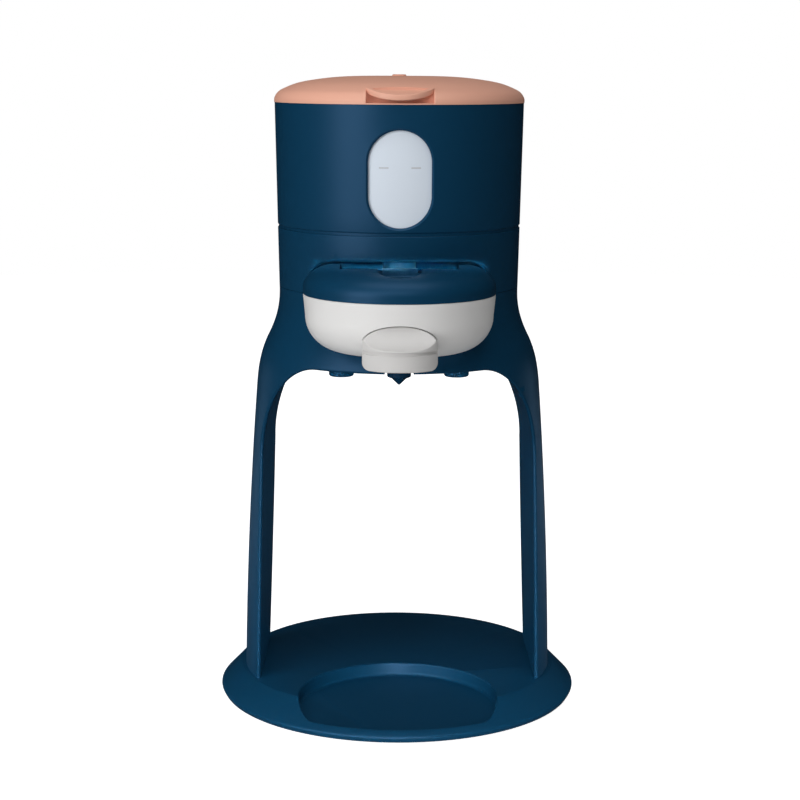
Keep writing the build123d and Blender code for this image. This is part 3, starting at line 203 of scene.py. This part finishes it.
black = moulded("black plastic", (0.014, 0.014, 0.016), 0.5, relief=0.2)
zinc = plated("zinc plate", (0.5, 0.5, 0.48), 0.3, clouds=500.0, cloud_depth=-0.25, relief=0.1)
dress(black, "base_cover")
dress(zinc, "base_cover_screws")


# ---- Base plate ----------------------------------------------------------------------------------
# A round shell moulded in navy plastic, with a well for the bottle near its front and a low rounded
# edge. The tool is finely spark eroded, so the plastic is satin and its highlights are soft.
navy = moulded("navy satin plastic", (0.0030, 0.044, 0.099), 0.4, tint=(0.3, 0.56, 1.0))
dress(navy, "base_plate")


# ---- Legs and lower head -------------------------------------------------------------------------
# The legs and the flared lower head are one navy moulding. A second one lines the legs inside and
# closes the head from below. Zinc plated screws hold the lining to the head and the legs to the base.
dress(navy, "arch_frame", "inner_arch")
dress(zinc, "leg_screws", "underside_screws")


# ---- Pump, heater and hoses ----------------------------------------------------------------------
# A small pump in a plated case stands on a rubber pad. It draws water through a silicone hose and
# pushes it through a cast aluminium flow heater to the spray head over the bowl.
cast = plated("cast aluminium", (0.42, 0.42, 0.42), 0.48, clouds=900.0, cloud_depth=-0.3, relief=0.5)
silicone = moulded("milky silicone", (0.56, 0.56, 0.53), 0.42, relief=0.05, shade_change=0.1)
dress(zinc, "pump")
dress(rubber, "pump_pad")
dress(cast, "heater_block")
dress(silicone, "feed_hose", "pump_hose", "spray_hose")


# ---- Drawer bay and spray head -------------------------------------------------------------------
# The bay is a navy moulding inside the head. The mixing bowl slides into it, and it keeps water and
# powder off the works. The navy spray head stands on its roof, with its tip through it over the bowl.
dress(navy, "drawer_bay", "spray_head")


# ---- Head band and tank seat ---------------------------------------------------------------------
# The plain band closes the head above the drawer. The black seat inside it is screwed down and has a
# cup with a silicone ring for the tank's valve.
dress(navy, "head_band")
dress(black, "tank_seat")
dress(zinc, "seat_screws")
dress(silicone, "inlet_seal")


# ---- Controls ------------------------------------------------------------------------------------
# A gloss black inlay on the right flank carries three white push buttons over a green circuit board.
# Each button bears one, two or three printed strokes for a small, middle or large fill.
inlay = moulded("gloss black inlay", (0.006, 0.006, 0.008), 0.16, relief=0.02, coat=0.3)
button_white = moulded("button white", (0.78, 0.78, 0.77), 0.3)
board = moulded("green board lacquer", (0.008, 0.07, 0.028), 0.35, grains=700.0, relief=0.3)
print_ink = moulded("printing ink", (0.03, 0.03, 0.035), 0.5)
button_names = ("button_1", "button_2", "button_3")
dress(inlay, "control_panel")
dress(board, "control_board")
dress(button_white, *button_names)

column_y = 9.5 * MM
button_radius = 4.5 * MM
button_edge = 0.6 * MM
button_pitch = 13.0 * MM
panel_turn = radians(40.0)
panel_out = Vector((cos(panel_turn), sin(panel_turn), 0.0))
panel_along = Vector((-sin(panel_turn), cos(panel_turn), 0.0))
stroke_size = (0.1 * MM, 0.5 * MM, 3.0 * MM)
stroke_pitch = 1.1 * MM
stroke_edge = 0.03 * MM
# a button's rounded rim reaches this much further in x than the middle of its turned face
rim_x = (button_radius - button_edge) * sin(panel_turn) + button_edge * (1 - cos(panel_turn))


def finished(name, form, material):
    """Object made from a bmesh, with its material."""
    mesh = bpy.data.meshes.new(name)
    form.to_mesh(mesh)
    form.free()
    mesh.materials.append(material)
    made = bpy.data.objects.new(name, mesh)
    bpy.context.scene.collection.objects.link(made)
    return made


for index, name in enumerate(button_names):
    low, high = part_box(name)
    shift = (index - 1) * button_pitch
    reach = (high[0] - rim_x - shift * panel_along.x) / panel_out.x
    centre = panel_out * reach + panel_along * shift + Vector((0, column_y, (low[2] + high[2]) / 2))
    strokes = bmesh.new()
    for stroke in range(index + 1):
        along = (stroke - index / 2) * stroke_pitch
        place = Matrix.Translation(centre + panel_along * along) @ Matrix.Rotation(panel_turn, 4, "Z")
        bmesh.ops.create_cube(strokes, size=1.0, matrix=place @ Matrix.Diagonal((*stroke_size, 1.0)))
    bmesh.ops.bevel(strokes, geom=strokes.edges[:], offset=stroke_edge, segments=1, profile=0.5,
                    affect="EDGES", material=-1)
    stroke_piece = finished("strokes_%d" % (index + 1), strokes, print_ink)
    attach(stroke_piece, "key_%d" % (index + 1))


# ---- Cord gland ----------------------------------------------------------------------------------
# A flanged rubber bushing pressed into the back of the lower head, where the supply lead enters. It
# keeps the lead from chafing on the edge of its hole.
dress(rubber, "cord_gland")


# ---- Tank sleeve and hinge pin -------------------------------------------------------------------
# The tank's opaque navy sleeve has a tall window with a bevelled edge in front, and two hinge ears
# behind. A stainless pin goes through the ears and the lid's knuckle.
stainless = plated("stainless steel", (0.6, 0.59, 0.57), 0.22, clouds=300.0, cloud_depth=-0.1,
                   relief=0.05)
dress(navy, "tank_sleeve")
dress(stainless, "hinge_pin")


# ---- Tank reservoir ------------------------------------------------------------------------------
# A frosted, faintly blue vessel inside the sleeve. It shows through the window, where two raised
# strokes, one on each side, mark the highest level.
frosted = moulded("frosted tank plastic", (0.80, 0.88, 0.975), 0.32, relief=0.03, shade_change=0.02,
                  specular=0.15)
mark_ink = moulded("level mark ink", (0.58, 0.61, 0.65), 0.5)
dress(frosted, "tank_reservoir")

tank_axis = Vector((0.0, column_y, 0.0))
vessel_radius = 71.77 * MM
mark_z = 326.3 * MM
mark_height = 0.7 * MM
mark_proud = 0.06 * MM
mark_start = radians(5.2)
mark_sweep = radians(4.4)
mark_steps = 6
inside = vessel_radius - mark_proud
outside = vessel_radius + mark_proud
marks = bmesh.new()
for side in (1, -1):
    start = Matrix.Rotation(side * mark_start, 4, "Z")
    corners = []
    for radius, height in ((inside, 0), (outside, 0), (outside, mark_height), (inside, mark_height)):
        corners.append(marks.verts.new(tank_axis + start @ Vector((0, -radius, mark_z + height))))
    end = marks.faces.new(corners)
    bmesh.ops.spin(marks, geom=[end, *end.edges, *end.verts], cent=tank_axis, axis=(0, 0, 1),
                   angle=side * mark_sweep, steps=mark_steps)
bmesh.ops.recalc_face_normals(marks, faces=marks.faces[:])
level_marks = finished("level_marks", marks, mark_ink)
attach(level_marks, "tank")


# ---- Tank valve ----------------------------------------------------------------------------------
# A white valve body in the vessel's floor holds a silicone poppet and a stainless spring. The seat's
# pin opens it when the tank is set down.
dress(button_white, "valve_body")
dress(silicone, "valve_poppet")
dress(stainless, "valve_spring")


# ---- Tank lid ------------------------------------------------------------------------------------
# A low dome finished in satin rose gold lacquer, with a dished finger tab in front and a small vent
# on its crown. A silicone gasket seals its plug in the vessel.
rose = moulded("rose gold lacquer", (0.88, 0.46, 0.335), 0.42, relief=0.04, specular=0.3)
dress(rose, "tank_lid")
dress(silicone, "lid_gasket")


# ---- Mixing bowl, handle and nozzle --------------------------------------------------------------
# Bowl and handle are smooth white mouldings, the handle set into the bowl's front with a fine seam.
# The handle's white is darker as painted shade. A glossy navy nozzle hangs under the bowl on a silicone
# ring.
white = moulded("white plastic", (0.88, 0.875, 0.865), 0.34, relief=0.03, shade_change=0.02,
                specular=0.2)
# the handle's material is the bowl's white made darker: painted shade for its forward face, not a
# greyer plastic
handle_shaded_white = moulded("handle plastic", (0.70, 0.69, 0.68), 0.34, relief=0.03, shade_change=0.02,
                       specular=0.2)
nozzle_navy = moulded("glossy navy plastic", (0.0034, 0.037, 0.088), 0.2, relief=0.02)
dress(white, "mixing_bowl")
dress(handle_shaded_white, "bowl_handle")
dress(nozzle_navy, "outlet_nozzle")
dress(silicone, "nozzle_seal")


# ---- Bowl covers ---------------------------------------------------------------------------------
# The front cover lifts off for the powder, gripped by a thumb recess. The rear one stays on the
# bowl, under the spray head.
dress(navy, "bowl_cover", "powder_lid")


# ---- Camera --------------------------------------------------------------------------------------
# It stands a little over a metre in front of the machine, at the height of the lid, and looks about
# ten degrees down.
camera_place = (-8.42 * MM, -1136.59 * MM, 384.93 * MM)
camera_turn = radians(-0.481)
camera_tilt = radians(79.861)
camera_roll = radians(0.2547)
camera_data = bpy.data.cameras.new("camera")
camera_data.lens = 84.579
camera = bpy.data.objects.new("camera", camera_data)
bpy.context.scene.collection.objects.link(camera)
aim = Matrix.Rotation(camera_turn, 4, "Z") @ Matrix.Rotation(camera_tilt, 4, "X")
aim = aim @ Matrix.Rotation(camera_roll, 4, "Z")
camera.matrix_world = Matrix.Translation(camera_place) @ aim
bpy.context.scene.camera = camera


# ---- Light and floor -----------------------------------------------------------------------------
# A tall soft box on the left gives the broad highlight on the round walls. One high in front, one
# overhead and one behind fill the rest. Smaller ones with narrow beams bring out the base, the edges
# of the legs, their lining and the gap over the powder lid.
def soft_box(name, place, target, size, power, spread=180.0, colour=(1, 1, 1), shine=True,
             only=None):
    """Lamp of a width and height in metres. With shine off, no reflection shows it."""
    lamp = bpy.data.lights.new(name, "AREA")
    lamp.shape = "RECTANGLE"
    lamp.size, lamp.size_y = size
    lamp.energy = power
    lamp.spread = radians(spread)
    lamp.color = colour
    holder = bpy.data.objects.new(name, lamp)
    bpy.context.scene.collection.objects.link(holder)
    holder.location = place
    holder.visible_camera = False
    holder.visible_glossy = shine
    holder.light_linking.receiver_collection = only
    holder.rotation_euler = (Vector(target) - Vector(place)).to_track_quat("-Z", "Y").to_euler()


def alone(name, node):
    """Collection of one node, for lamps that light nothing else."""
    chosen = bpy.data.collections.new(name)
    chosen.objects.link(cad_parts[node])
    return chosen


middle = (0, 0, 0.2)
soft_box("left box", (-1.03, -1.1, 0.5), middle, (0.95, 1.2), power=11.2)
soft_box("front box", (-0.1, -1.5, 1.25), middle, (1.3, 0.6), power=5.2)
soft_box("overhead box", (-0.05, -0.4, 1.6), middle, (1.3, 0.8), power=6.5)
lining = alone("lining", "inner_arch")
for side, word in ((1, "right"), (-1, "left")):
    soft_box(word + " lining box", (-0.4 * side, -0.9, 0.02), (0.08 * side, 0, 0.08), (0.2, 0.2),
             power=0.16, spread=20, shine=False, only=lining)
soft_box("base box", (0, -1.1, 0.85), (0, 0.02, -0.02), (0.5, 0.1), power=0.025, spread=8)
outer_legs = alone("outer legs", "arch_frame")
rim_blue = (0.45, 0.72, 1.0)
for side, word, power in ((1, "right", 0.018), (-1, "left", 0.016)):
    soft_box(word + " rim box", (1.1 * side, 1.0, 0.06), (0.09 * side, 0, 0.06), (0.25, 0.15),
             power=power, spread=8, colour=rim_blue, only=outer_legs)
soft_box("rear box", (0.3, 1.5, 0.9), middle, (1.4, 0.8), power=4.5, shine=False)
soft_box("slot box", (0, -0.5, 0.33), (0, -0.06, 0.2705), (0.1, 0.002), power=0.004, spread=1.2)
soft_box("low box", (0, -1.2, 0.08), (0, -0.1, 0.0), (1.0, 0.15), power=0.5, spread=20)

# the room is white to the camera, dim to the object and almost black in its reflections
room_light = 0.12
room_gloss_cut = 0.115
room = bpy.data.worlds.new("room")
room.use_nodes = True
room_nodes, room_links = room.node_tree.nodes, room.node_tree.links
room_ray = room_nodes.new("ShaderNodeLightPath").outputs
ambient = room_nodes["Background"]
ambient.inputs["Color"].default_value = (1, 1, 1, 1)
strength = maths(room.node_tree, "MULTIPLY_ADD", room_ray["Is Glossy Ray"], -room_gloss_cut, room_light)
room_links.new(strength, ambient.inputs["Strength"])
backdrop = room_nodes.new("ShaderNodeBackground")
backdrop.inputs["Color"].default_value = (1, 1, 1, 1)
choice = room_nodes.new("ShaderNodeMixShader")
room_links.new(room_ray["Is Camera Ray"], choice.inputs["Fac"])
room_links.new(ambient.outputs["Background"], choice.inputs[1])
room_links.new(backdrop.outputs["Background"], choice.inputs[2])
room_links.new(choice.outputs["Shader"], room_nodes["World Output"].inputs["Surface"])
bpy.context.scene.world = room
bpy.context.scene.view_settings.view_transform = "Standard"

# the floor glows for the camera alone, up to the room's white, and is dark in reflections
floor_radius = 2.4
floor_glow = 0.95
pale = bpy.data.materials.new("pale floor")
pale.use_nodes = True
pale_nodes, pale_links = pale.node_tree.nodes, pale.node_tree.links
floor_ray = pale_nodes.new("ShaderNodeLightPath").outputs
paint = pale_nodes["Principled BSDF"]
paint.inputs["Base Color"].default_value = (0.7, 0.7, 0.7, 1)
paint.inputs["Roughness"].default_value = 0.9
paint.inputs["Specular IOR Level"].default_value = 0.0
paint.inputs["Emission Color"].default_value = (1, 1, 1, 1)
glow = maths(pale.node_tree, "MULTIPLY", floor_ray["Is Camera Ray"], floor_glow)
pale_links.new(glow, paint.inputs["Emission Strength"])
matt = pale_nodes.new("ShaderNodeBsdfDiffuse")
matt.inputs["Color"].default_value = (0.03, 0.03, 0.03, 1)
blend = pale_nodes.new("ShaderNodeMixShader")
pale_links.new(floor_ray["Is Glossy Ray"], blend.inputs["Fac"])
pale_links.new(paint.outputs["BSDF"], blend.inputs[1])
pale_links.new(matt.outputs["BSDF"], blend.inputs[2])
pale_links.new(blend.outputs["Shader"], pale_nodes["Material Output"].inputs["Surface"])
disc = bmesh.new()
bmesh.ops.create_circle(disc, cap_ends=True, radius=floor_radius, segments=96)
floor = finished("floor", disc, pale)
